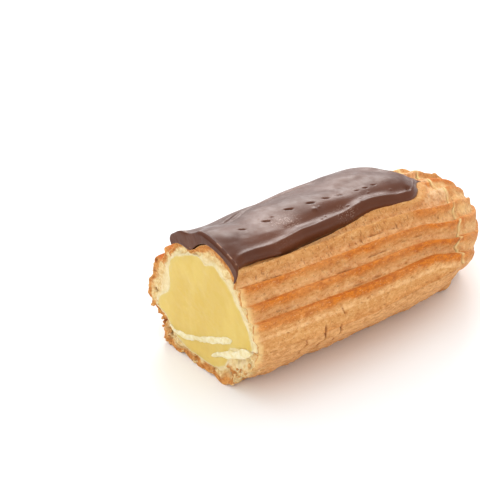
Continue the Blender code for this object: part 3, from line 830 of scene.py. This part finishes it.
def make_web(name, line, widths, material):
    """One thin web of dough, torn off a little proud of the custard."""
    steps = np.arange(len(line), dtype=float)
    place = np.linspace(0.0, len(line) - 1.0, WEB_STATIONS)
    middle, ahead, behind = (
        np.stack([between(list(zip(steps, axis)), place + shift) for axis in zip(*line)], axis=-1)
        for shift in (0.0, 0.05, -0.05))
    run = ahead - behind
    run /= np.linalg.norm(run, axis=-1, keepdims=True)
    across = np.stack([run[:, 1], -run[:, 0]], axis=-1)
    half = between(list(zip(steps, widths)), place) * ramp(place, -0.3, 0.4)
    half = half * ramp(len(line) - 1.0 - place, -0.3, 0.4)

    turn = np.radians(np.linspace(0.0, 360.0, WEB_COLUMNS, endpoint=False))
    side, front = np.cos(turn), np.sin(turn)
    spread = half[:, None] * side[None, :]
    points = middle[:, None, :] + across[:, None, :] * spread[..., None]
    plane = flat_points(points[..., 0], points[..., 1])
    lumps = WEB_PROUD * front * (1.0 + 0.4 * rough(plane, 3.0, 143)) * (half / 0.7)[:, None]
    skin = custard_relief(plane) - CUSTARD_PROUD
    depth = np.where(front > 0.0, skin - 0.12 * np.sqrt(np.maximum(front, 0.0)) - lumps,
                     skin - WEB_DEPTH * front)
    waver = 0.24 * rough(plane, 2.0, 141)
    points = points + across[:, None, :] * (waver * np.abs(side))[..., None]
    rings = np.concatenate([(CUT_X + depth)[..., None], points], axis=-1)
    item = closed_tube(name, rings, rings[0].mean(axis=0), rings[-1].mean(axis=0))
    return dress(item, material)


# ---------------------------------------------------------------- icing

ICING_COLUMNS = 180
ICING_STEP = 0.28
NEAR_RIM = 1.9
CUT_RIM = 3.8             # the near rim thins out to a sliver at the cut
FAR_RIM = 4.4
ICING_SEAT = 0.12         # the icing's underside lies this far inside the crust
CUT_SEAT = 0.06           # and this much deeper at the cut
# Small slits in the icing: distance, angle, half length, depth
SLITS = ((9.2, 88.2, 0.8, 0.35), (16.8, 90.3, 0.9, 0.42), (19.0, 92.0, 0.4, 0.22),
         (24.2, 93.0, 0.9, 0.5), (29.8, 90.8, 0.8, 0.5), (34.2, 90.2, 0.8, 0.36),
         (38.2, 89.6, 0.7, 0.2), (43.0, 88.6, 0.5, 0.22), (45.4, 88.2, 0.5, 0.25),
         (47.8, 88.0, 0.5, 0.2))
SLIT_WIDTH = 0.115
SLIT_LEAN = 0.34
# Broad dimples: distance, angle, size, depth, and how much pale bloom and painted sparkle they carry
DIMPLES = ((20.5, 84.0, 2.9, 0.3, 1.0), (26.0, 81.5, 2.3, 0.35, 0.0), (35.0, 75.5, 2.5, 0.5, 0.8))
# Small crumbs and bubbles on it: distance, angle, radius, height
FLECKS = ((29.0, 85.0, 0.5, 0.3), (30.4, 85.6, 0.24, 0.16), (28.2, 76.0, 0.26, 0.18),
          (29.6, 77.3, 0.22, 0.16), (35.5, 81.6, 0.2, 0.12), (37.2, 79.6, 0.24, 0.16),
          (40.6, 77.8, 0.2, 0.14), (41.5, 81.6, 0.2, 0.12), (50.5, 80.0, 0.24, 0.16),
          (16.0, 95.0, 0.2, 0.1), (44.8, 84.0, 0.22, 0.12))
# Line along which the far edge folded over: distance, angle
FOLD = ((4.0, 104.0), (8.0, 106.5), (13.5, 111.5), (19.0, 116.0), (30.0, 121.0), (40.0, 118.0))


def rim_shape(into, reach, power=2.6):
    """Rounded steep rim: 0 at the edge, 1 once inside by the reach."""
    share = 1.0 - np.clip(into / reach, 0.0, 1.0)
    return np.clip(1.0 - share ** power, 0.0, 1.0) ** (1.0 / power)


def icing_edges(distance):
    """Near and far edge angles, wavering a little."""
    spots = flat_points(0.0, 0.0, distance)
    near = between(NEAR_EDGE, distance) + 0.6 * noise(spots, 4.5, 151) * ramp(distance, 1.0, 6.0)
    far = far_edge(distance) + 0.8 * noise(spots, 7.0, 153) * ramp(distance, 3.0, 9.0)
    calm = 1.0 - ramp(distance, 50.0, 60.0)
    near = mix(between(NEAR_EDGE, distance), near, calm)
    return near, np.maximum(far, near + 1.5)


def icing_lift(distance, angle, into_near, into_far, share):
    """Thickness of the icing over the envelope, away from its rims, and its colour masks: painted shade
    in the slits, pale bloom with painted sparkle, and a painted highlight along the cut edge.
    """
    spots = places_on(distance, angle)
    along_only = flat_points(0.0, 0.0, distance)
    across = 2.0 * share - 1.0
    lift = ICING_THICKNESS + 0.25 * np.sin(0.28 * distance + 2.0 * across) * np.cos(3.0 * across)
    inside = ramp(into_near, 1.5, 5.0) * ramp(into_far, 2.0, 9.0)
    lift += 0.45 * noise(spots, (11.0, 6.0, 6.0), 161) * inside
    lift += 0.09 * noise(spots, (4.0, 2.2, 2.2), 163)
    lift -= 0.9 * hump(distance, 8.5, 6.5) * ramp(angle, 92.0, 112.0)
    lift -= 0.9 * hump(angle, 108.0, 8.0) * (1.0 - ramp(distance, 0.0, 6.0))
    lift -= 0.75 * hump(into_near, 1.5, 3.0) * ramp(distance, 36.0, 48.0)
    lobe = np.hypot(distance - 54.5, (angle - 75.5) * 0.33)
    lift += 0.35 * np.exp(-(lobe / 2.2) ** 2) - 0.5 * np.exp(-(lobe / 0.7) ** 2)
    roll = mix(0.1, 0.4, 0.5 + 0.5 * noise(along_only, 9.0, 165))
    lift += roll * hump(into_near, 1.75, 0.55)
    lift -= 0.22 * hump(into_near, 3.4, 1.2) * ramp(distance, 8.0, 16.0)
    bloom_and_painted_sparkle = np.zeros(lift.shape)
    for place, turn, size, depth, bloom_and_sparkle_share in DIMPLES:
        reach = np.hypot((distance - place) / 1.6, (angle - turn) * 0.33) / size
        lift -= depth * np.exp(-reach ** 2)
        # pale bloom with painted sparkle in the dimples
        bloom_and_painted_sparkle = np.maximum(bloom_and_painted_sparkle, bloom_and_sparkle_share * np.exp(-(1.1 * reach) ** 4))
    past_fold = (angle - between(FOLD, distance)) * 0.33
    folded = ramp(distance, 6.0, 12.0) * (1.0 - ramp(distance, 36.0, 42.0))
    lift += folded * (0.22 * hump(past_fold, -0.4, 0.4) - 0.34 * hump(past_fold, 0.45, 0.4))
    painted_recess_shade = np.zeros(lift.shape)
    for place, turn, half, depth in SLITS:
        along = distance - place
        sideways = (angle - turn) * 0.33 + SLIT_LEAN * along
        reach = np.exp(-(along / half) ** 4)
        slit = reach * hump(sideways, 0.0, SLIT_WIDTH)
        lift += 0.16 * depth * reach * hump(sideways, 0.45, 0.22) - depth * slit
        # painted shade inside each slit
        painted_recess_shade = np.maximum(painted_recess_shade, np.minimum(1.0, 1.6 * depth) * slit ** 2)
    for place, turn, radius, height in FLECKS:
        reach = np.hypot(distance - place, (angle - turn) * 0.33) / radius
        lift += height * np.exp(-reach ** 2)
    at_cut = 1.0 + 0.6 * noise(spots, 2.5, 167)
    lift += 0.25 * hump(distance, 0.3, 0.4) * ramp(112.0 - angle, 0.0, 8.0) * at_cut
    # painted highlight: a pale broken line along the icing's top edge at the cut
    edge = hump(distance, 0.35, 0.14) * ramp(noise(spots, (9.0, 0.9, 0.9), 168), -0.05, 0.35)
    edge = edge * ramp(into_near, 0.8, 1.8) * ramp(into_far, 1.0, 3.0)
    lift += 0.3 * hump(angle, 121.0, 6.0) * (1.0 - ramp(distance, 0.0, 2.2))
    tail = 1.0 - 0.4 * ramp(distance, 54.0, ICING_END)
    lift -= 0.45 * hump(angle, 74.0, 15.0) * (1.0 - ramp(distance, 0.5, 4.0))
    return lift * tail, {"painted_recess_shade": painted_recess_shade, "bloom_and_painted_sparkle": bloom_and_painted_sparkle, "edge": edge}


def icing_surface(stations):
    """Rings around the icing, from its near edge over the top and back underneath."""
    spread = np.linspace(0.0, 1.0, ICING_COLUMNS)
    share = spread - 0.4 * np.sin(2.0 * np.pi * spread) / (2.0 * np.pi)
    distance, share = np.meshgrid(stations, share, indexing="ij")
    near, far = icing_edges(distance)
    angle = mix(near, far, share)
    flat, normal = envelope(distance, angle), outward(envelope, distance, angle)
    steps = np.linalg.norm(np.diff(flat, axis=1), axis=-1)
    into_near = np.concatenate([np.zeros((len(stations), 1)), np.cumsum(steps, axis=1)], axis=1)
    into_far = into_near[:, -1:] - into_near
    into_tip = (ICING_END - distance) * 1.2 + 0.3
    seat = base_height(distance, angle) - ICING_SEAT
    seat -= CUT_SEAT * (1.0 - ramp(distance, 0.8, 3.2)) * rim_shape(np.minimum(
        into_near, into_far), 1.5)
    near_reach = mix(CUT_RIM, NEAR_RIM, ramp(distance, 0.8, 3.0))
    near_reach = near_reach + 1.5 * ramp(distance, 42.0, 52.0)
    far_reach = mix(CUT_RIM / 2.0, FAR_RIM, ramp(distance, 0.5, 4.0))
    rim = rim_shape(into_near, near_reach, 2.0) * rim_shape(into_far, far_reach)
    rim *= rim_shape(into_tip, 2.4)
    lift, masks = icing_lift(distance, angle, into_near, into_far, share)
    top = flat + normal * mix(seat, lift, rim)[..., None]
    under = flat + normal * seat[..., None]
    blank = np.zeros((len(stations), ICING_COLUMNS - 2))
    masks = {name: np.concatenate([mask, blank], axis=1) for name, mask in masks.items()}
    return np.concatenate([top, under[:, -2:0:-1]], axis=1), masks


def icing_stations():
    body = np.arange(2.4, ICING_END - 2.0, ICING_STEP)
    tip = ICING_END - 2.0 * (1.0 - np.linspace(0.0, 1.0, 12) ** 0.6)
    return np.concatenate([np.arange(0.0, 2.4, 0.12), body, tip])


def make_icing(material):
    """Chocolate icing: steep rolled near rim, thin folded far edge, slits and a pointed end."""
    rings, masks = icing_surface(icing_stations())
    count = rings.shape[1]
    partner = np.mod(-np.arange(count), count)
    rings[0, :, 0] -= 0.1
    face = rings[0]
    middle = 0.5 * (face + face[partner])
    inner = []
    for share in (0.2, 0.5, 0.8):
        loop = mix(middle, face, share)
        loop[:, 0] = CUT_X - 0.17 + 0.05 * rough(loop, 1.6, 171)
        inner.append(loop)
    rings = np.concatenate([inner, rings])
    points = rings.reshape(-1, 3)
    faces = ring_faces(len(rings), count)
    last = (len(rings) - 1) * count
    for number in range(ICING_COLUMNS - 1):
        start = [number + 1, number, partner[number], partner[number + 1]]
        end = [last + number, last + number + 1, last + partner[number + 1],
               last + partner[number]]
        faces += [list(dict.fromkeys(map(int, corners))) for corners in (start, end)]
    blank = np.zeros((len(inner), count))
    masks = {name: np.concatenate([blank, mask]).ravel() for name, mask in masks.items()}
    item = new_piece("icing", points, faces, masks)
    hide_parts("chocolate_icing")
    return dress(item, material)


# ---------------------------------------------------------------- crumbs

CRUMB_COUNT = 44
CRUMB_SIZES = (0.2, 0.55)


def make_crumbs(material):
    """Loose crumbs of crust and dough that cling to the lower edge of the cut."""
    random = np.random.default_rng(7)
    angles = random.uniform(196.0, 330.0, CRUMB_COUNT)
    share = random.uniform(0.05, 0.75, CRUMB_COUNT) ** 1.2
    rim = envelope(0.0, angles)
    inner = cavity_edge(0.0, angles)
    y, z = mix(rim[:, 1], inner[:, 0], share), mix(rim[:, 2], inner[:, 1], share)
    sizes = mix(*CRUMB_SIZES, random.random(CRUMB_COUNT) ** 2.2)
    ball = bmesh.new()
    bmesh.ops.create_icosphere(ball, subdivisions=3, radius=1.0)
    shape = np.array([vertex.co for vertex in ball.verts])
    faces = [[vertex.index for vertex in face.verts] for face in ball.faces]
    ball.free()
    points, polygons, browns = [], [], []
    for number in range(CRUMB_COUNT):
        stretch = random.uniform(0.6, 1.25, 3)
        lump = shape * (1.0 + 0.38 * rough(shape + 9.0 * number, 0.8, 181))[:, None] * stretch
        centre = (CUT_X + 0.1 * sizes[number], y[number], max(z[number], sizes[number]))
        polygons += [[index + len(shape) * number for index in face] for face in faces]
        points.append(lump * sizes[number] + centre)
        browns.append(np.full(len(shape), random.random() ** 0.6))
    points = np.concatenate(points)
    points[:, 2] = np.maximum(points[:, 2], 0.0)
    masks = {"brown": np.concatenate(browns), "crumb": np.ones(len(points))}
    item = new_piece("crumbs", points, polygons, masks)
    return dress(item, material)


# ---------------------------------------------------------------- materials

def colour(red, green, blue):
    """A colour given as screen values from 0 to 255, as the shader reads it."""
    shares = (value / 255.0 for value in (red, green, blue))
    return (*(share / 12.92 if share <= 0.04045 else ((share + 0.055) / 1.055) ** 2.4
              for share in shares), 1.0)


class Shader:
    """Small helper that adds nodes to one material and links them."""

    def __init__(self, name, **settings):
        self.material = bpy.data.materials.new(name)
        self.material.use_nodes = True
        self.tree = self.material.node_tree
        self.surface = self.tree.nodes["Principled BSDF"]
        for socket, value in settings.items():
            self.surface.inputs[socket.replace("_", " ")].default_value = value
        self.place = self.add("ShaderNodeTexCoord").outputs["Object"]

    def add(self, kind, inputs=None, **settings):
        item = self.tree.nodes.new(kind)
        for name, value in settings.items():
            setattr(item, name, value)
        for name, value in (inputs or {}).items():
            if isinstance(value, bpy.types.NodeSocket):
                self.tree.links.new(value, item.inputs[name])
            else:
                item.inputs[name].default_value = value
        return item

    def mask(self, name):
        return self.add("ShaderNodeAttribute", attribute_name=name).outputs["Fac"]

    def noise(self, size, detail=4.0, stretch=(1.0, 1.0, 1.0), roughness=0.6):
        """Noise with lumps of a size in millimetres."""
        place = self.add("ShaderNodeMapping", {"Vector": self.place, "Scale": stretch})
        return self.add("ShaderNodeTexNoise", {
            "Vector": place.outputs["Vector"], "Scale": 1.0 / (size * MM), "Detail": detail,
            "Roughness": roughness}).outputs["Fac"]

    def specks(self, size, share, radius, stretch=(1.0, 1.0, 1.0)):
        """Small spots in a share of cells of a size in millimetres, 1 inside and 0 outside."""
        place = self.add("ShaderNodeMapping", {"Vector": self.place, "Scale": stretch})
        cells = self.add("ShaderNodeTexVoronoi", {
            "Vector": place.outputs["Vector"], "Scale": 1.0 / (size * MM)})
        chance = self.add("ShaderNodeSeparateColor", {"Color": cells.outputs["Color"]})
        spot = self.range(cells.outputs["Distance"], radius, 0.5 * radius)
        chosen = self.maths("LESS_THAN", chance.outputs["Red"], share)
        return self.maths("MULTIPLY", spot, chosen)

    def range(self, value, low, high, to_low=0.0, to_high=1.0):
        return self.add("ShaderNodeMapRange", {
            "Value": value, "From Min": low, "From Max": high, "To Min": to_low,
            "To Max": to_high}, interpolation_type="SMOOTHSTEP").outputs["Result"]

    def maths(self, operation, first, second=0.0):
        return self.add("ShaderNodeMath", {0: first, 1: second}, operation=operation,
                        use_clamp=False).outputs["Value"]

    def blend(self, share, first, second):
        item = self.add("ShaderNodeMix", {"Factor": share}, data_type="RGBA")
        for name, value in (("A", first), ("B", second)):
            socket = [s for s in item.inputs if s.name == name and s.type == "RGBA"][0]
            if isinstance(value, bpy.types.NodeSocket):
                self.tree.links.new(value, socket)
            else:
                socket.default_value = value
        return [s for s in item.outputs if s.type == "RGBA"][0]

    def bumps(self, *layers):
        """Bump layers, each a height and its depth in millimetres."""
        normal = None
        for height, depth in layers:
            inputs = {"Height": height, "Distance": depth * MM, "Strength": 1.0}
            if normal is not None:
                inputs["Normal"] = normal
            normal = self.add("ShaderNodeBump", inputs).outputs["Normal"]
        self.tree.links.new(normal, self.surface.inputs["Normal"])

    def set(self, socket, value):
        self.tree.links.new(value, self.surface.inputs[socket])


def choux_material():
    """Baked choux: tan with browned crests, pores and cracks darkened with painted shade; pale crumb
    where it is torn.
    """
    shader = Shader("choux", Specular_IOR_Level=0.22, Subsurface_Weight=0.08,
                    Subsurface_Radius=(1.0, 0.5, 0.2), Subsurface_Scale=0.0014)
    broad = shader.noise(7.0, 3.0, (0.5, 1.0, 1.0))
    fine = shader.noise(0.9, 6.0, (0.55, 1.0, 1.0), 0.7)
    grain = shader.noise(0.42, 5.0, (0.7, 1.0, 1.0), 0.75)
    specks = shader.specks(0.55, 0.3, 0.34)
    lines = shader.specks(1.2, 0.5, 0.34, (3.0, 0.6, 0.6))
    brown = shader.mask("brown")

    tan = shader.blend(shader.range(broad, 0.3, 0.7), colour(203, 141, 79), colour(216, 159, 95))
    tan = shader.blend(shader.range(fine, 0.50, 0.66, 0.0, 0.7), tan, colour(230, 183, 124))
    tan = shader.blend(shader.range(fine, 0.46, 0.34, 0.0, 0.7), tan, colour(182, 111, 52))
    foot = shader.blend(shader.range(fine, 0.36, 0.64), colour(194, 132, 73),
                        colour(228, 172, 112))
    tan = shader.blend(shader.maths("MULTIPLY", shader.mask("foot"), 0.8), tan, foot)
    blush = shader.blend(shader.range(fine, 0.36, 0.62), colour(208, 145, 93),
                         colour(236, 192, 146))
    tan = shader.blend(shader.mask("blush"), tan, blush)
    tan = shader.blend(shader.maths("MULTIPLY", shader.mask("light"), 0.55), tan,
                       shader.blend(shader.range(fine, 0.36, 0.6), colour(218, 158, 98),
                                    colour(245, 198, 142)))
    orange = shader.blend(shader.range(fine, 0.35, 0.66), colour(176, 86, 14),
                          colour(214, 124, 30))
    level = shader.maths("MULTIPLY", brown, shader.range(fine, 0.3, 0.6, 0.85, 1.0))
    crust = shader.blend(level, tan, orange)
    crust = shader.blend(shader.range(grain, 0.55, 0.70, 0.0, 0.7), crust, colour(148, 82, 34))
    crust = shader.blend(shader.range(grain, 0.44, 0.32, 0.0, 0.5), crust, colour(238, 196, 144))
    crust = shader.blend(shader.maths("MULTIPLY", specks, 0.4), crust, colour(156, 86, 32))
    creased = shader.maths("MULTIPLY", lines, shader.maths("ADD", shader.mask("wrinkled"),
                                                           shader.mask("blush")))
    crust = shader.blend(shader.maths("MULTIPLY", creased, 0.5), crust, colour(148, 80, 34))
    crust = shader.blend(shader.mask("pale"), crust, colour(240, 212, 148))

    crumb = shader.blend(shader.range(fine, 0.38, 0.62), colour(214, 176, 114),
                         colour(238, 214, 160))
    toasted = shader.blend(shader.range(fine, 0.35, 0.65), colour(178, 106, 46),
                           colour(220, 156, 84))
    crumb = shader.blend(brown, crumb, toasted)
    crumb = shader.blend(shader.mask("cream"), crumb, cream_shade(shader))
    surface = shader.blend(shader.mask("crumb"), crust, crumb)
    # painted shade: pores, cracks and crumb holes darkened
    surface = shader.blend(shader.mask("painted_recess_shade"), surface, colour(136, 70, 24))
    shader.set("Base Color", surface)
    shader.set("Roughness", shader.range(shader.mask("cream"), 0.0, 1.0, 0.72, 0.42))
    shader.bumps((fine, 0.13), (grain, 0.08), (creased, -0.08))
    return shader.material


def cream_shade(shader):
    """Colour of the pale, moist dough around the custard."""
    return shader.blend(shader.range(shader.noise(1.6, 3.0), 0.35, 0.65), colour(226, 202, 147),
                        colour(238, 219, 173))


def custard_material():
    """Smooth set custard, faintly marbled."""
    shader = Shader("custard", Specular_IOR_Level=0.42, Subsurface_Weight=0.3,
                    Subsurface_Radius=(1.0, 0.75, 0.3), Subsurface_Scale=0.0025)
    swirl = shader.noise(6.0, 3.0, (1.0, 1.0, 0.6))
    fine = shader.noise(1.4, 3.0)
    shade = shader.blend(shader.range(swirl, 0.35, 0.65), colour(214, 181, 86),
                         colour(220, 190, 97))
    shade = shader.blend(shader.range(fine, 0.6, 0.8, 0.0, 0.35), shade, colour(233, 208, 124))
    shade = shader.blend(shader.mask("cream"), shade, cream_shade(shader))
    shader.set("Base Color", shade)
    shader.set("Roughness", shader.range(fine, 0.3, 0.7, 0.36, 0.52))
    shader.bumps((fine, 0.05), (shader.noise(0.35, 3.0), 0.015))
    return shader.material


def web_material():
    """Pale, moist inner dough."""
    shader = Shader("inner_dough", Specular_IOR_Level=0.45, Subsurface_Weight=0.3,
                    Subsurface_Radius=(1.0, 0.8, 0.45), Subsurface_Scale=0.002)
    fine = shader.noise(1.1, 4.0)
    shade = shader.blend(shader.range(fine, 0.35, 0.65), colour(228, 208, 150),
                         colour(240, 228, 190))
    shader.set("Base Color", shade)
    shader.set("Roughness", shader.range(fine, 0.3, 0.7, 0.34, 0.55))
    shader.bumps((fine, 0.05), (shader.noise(0.4, 3.0), 0.02))
    return shader.material


def icing_material():
    """Set chocolate icing: satin, with a faint grain, paler scuffs of bloom and painted sparkle, a
    painted highlight along the cut edge and painted shade in the slits.
    """
    shader = Shader("icing", Specular_IOR_Level=0.3, Specular_Tint=(1.0, 0.82, 0.7, 1.0))
    broad = shader.noise(8.0, 3.0, (0.5, 1.0, 1.0))
    grain = shader.noise(0.34, 5.0, roughness=0.75)
    shade = shader.blend(shader.range(broad, 0.3, 0.7), colour(76, 35, 17), colour(92, 47, 26))
    # pale grey scuffs: partly chocolate bloom, partly painted sparkle and highlight
    scuff_and_painted_sparkle = shader.maths("MULTIPLY", shader.range(grain, 0.50, 0.66, 0.0, 0.8),
                         shader.maths("ADD", shader.range(broad, 0.54, 0.70, 0.0, 0.35),
                                      shader.mask("bloom_and_painted_sparkle")))
    shade = shader.blend(shader.range(scuff_and_painted_sparkle, 0.0, 1.0), shade, colour(176, 146, 130))
    # painted highlight along the icing's edge at the cut
    shade = shader.blend(shader.maths("MULTIPLY", shader.mask("edge"), 0.7), shade,
                         colour(196, 150, 122))
    # painted shade inside the slits
    shade = shader.blend(shader.mask("painted_recess_shade"), shade, colour(34, 16, 11))
    shader.set("Base Color", shade)
    shader.set("Roughness", shader.range(shader.noise(2.2, 4.0), 0.3, 0.7, 0.28, 0.42))
    shader.bumps((shader.noise(1.2, 3.0), 0.03), (grain, 0.02))
    return shader.material


def floor_material():
    shader = Shader("floor", Roughness=0.8, Specular_IOR_Level=0.2)
    cloud = shader.noise(60.0, 2.0)
    shader.set("Base Color", shader.blend(cloud, colour(244, 244, 244), colour(250, 250, 250)))
    return shader.material


# ---------------------------------------------------------------- stage, lights and camera

CAMERA_TURN = -39.39
CAMERA_TILT = 30.74
CAMERA_DISTANCE = 363.5
CAMERA_TARGET = (CUT_X + 10.71, 0.0, 29.04)
CAMERA_LENS = 125.9
FLOOR_SIZE = 6.0


def direction(turn, tilt):
    """Unit vector from the object towards a viewer at a turn and a tilt."""
    turn, tilt = math.radians(turn), math.radians(tilt)
    return Vector((math.sin(turn) * math.cos(tilt), -math.cos(turn) * math.cos(tilt),
                   math.sin(tilt)))


def add_camera():
    data = bpy.data.cameras.new("camera")
    data.lens = CAMERA_LENS
    data.clip_start = 0.01
    item = bpy.data.objects.new("camera", data)
    away = direction(CAMERA_TURN, CAMERA_TILT)
    item.location = (Vector(CAMERA_TARGET) + away * CAMERA_DISTANCE) * MM
    item.rotation_euler = away.to_track_quat("Z", "Y").to_euler()
    bpy.context.scene.collection.objects.link(item)
    bpy.context.scene.camera = item


def add_lamp(name, turn, tilt, distance, size, power, tint=(1.0, 1.0, 1.0)):
    data = bpy.data.lights.new(name, "AREA")
    data.shape = "DISK"
    data.size = size
    data.energy = power
    data.color = tint
    item = bpy.data.objects.new(name, data)
    away = direction(turn, tilt)
    item.location = away * distance
    item.rotation_euler = away.to_track_quat("Z", "Y").to_euler()
    bpy.context.scene.collection.objects.link(item)


def add_floor(material):
    half = FLOOR_SIZE / 2.0
    mesh = bpy.data.meshes.new("floor")
    mesh.from_pydata([(-half, -half, 0.0), (half, -half, 0.0), (half, half, 0.0),
                      (-half, half, 0.0)], [], [(0, 1, 2, 3)])
    mesh.materials.append(material)
    item = bpy.data.objects.new("floor", mesh)
    bpy.context.scene.collection.objects.link(item)


def add_light():
    world = bpy.data.worlds.new("studio")
    world.use_nodes = True
    background = world.node_tree.nodes["Background"]
    background.inputs["Color"].default_value = (1.0, 1.0, 1.0, 1.0)
    background.inputs["Strength"].default_value = 0.92
    bpy.context.scene.world = world
    add_lamp("overhead", 150.0, 82.0, 0.8, 1.2, 2.2)
    add_lamp("behind", 141.0, 30.0, 0.9, 0.5, 3.8)
    add_lamp("front_fill", -60.0, 40.0, 0.9, 0.5, 1.0)
    bpy.context.scene.view_settings.view_transform = "Standard"


def main():
    choux = choux_material()
    dough = web_material()
    make_crust(choux)
    make_crumbs(choux)
    make_custard(custard_material())
    for name, (line, widths) in WEBS.items():
        make_web(name, line, widths, dough)
    make_icing(icing_material())
    add_floor(floor_material())
    add_light()
    add_camera()


main()
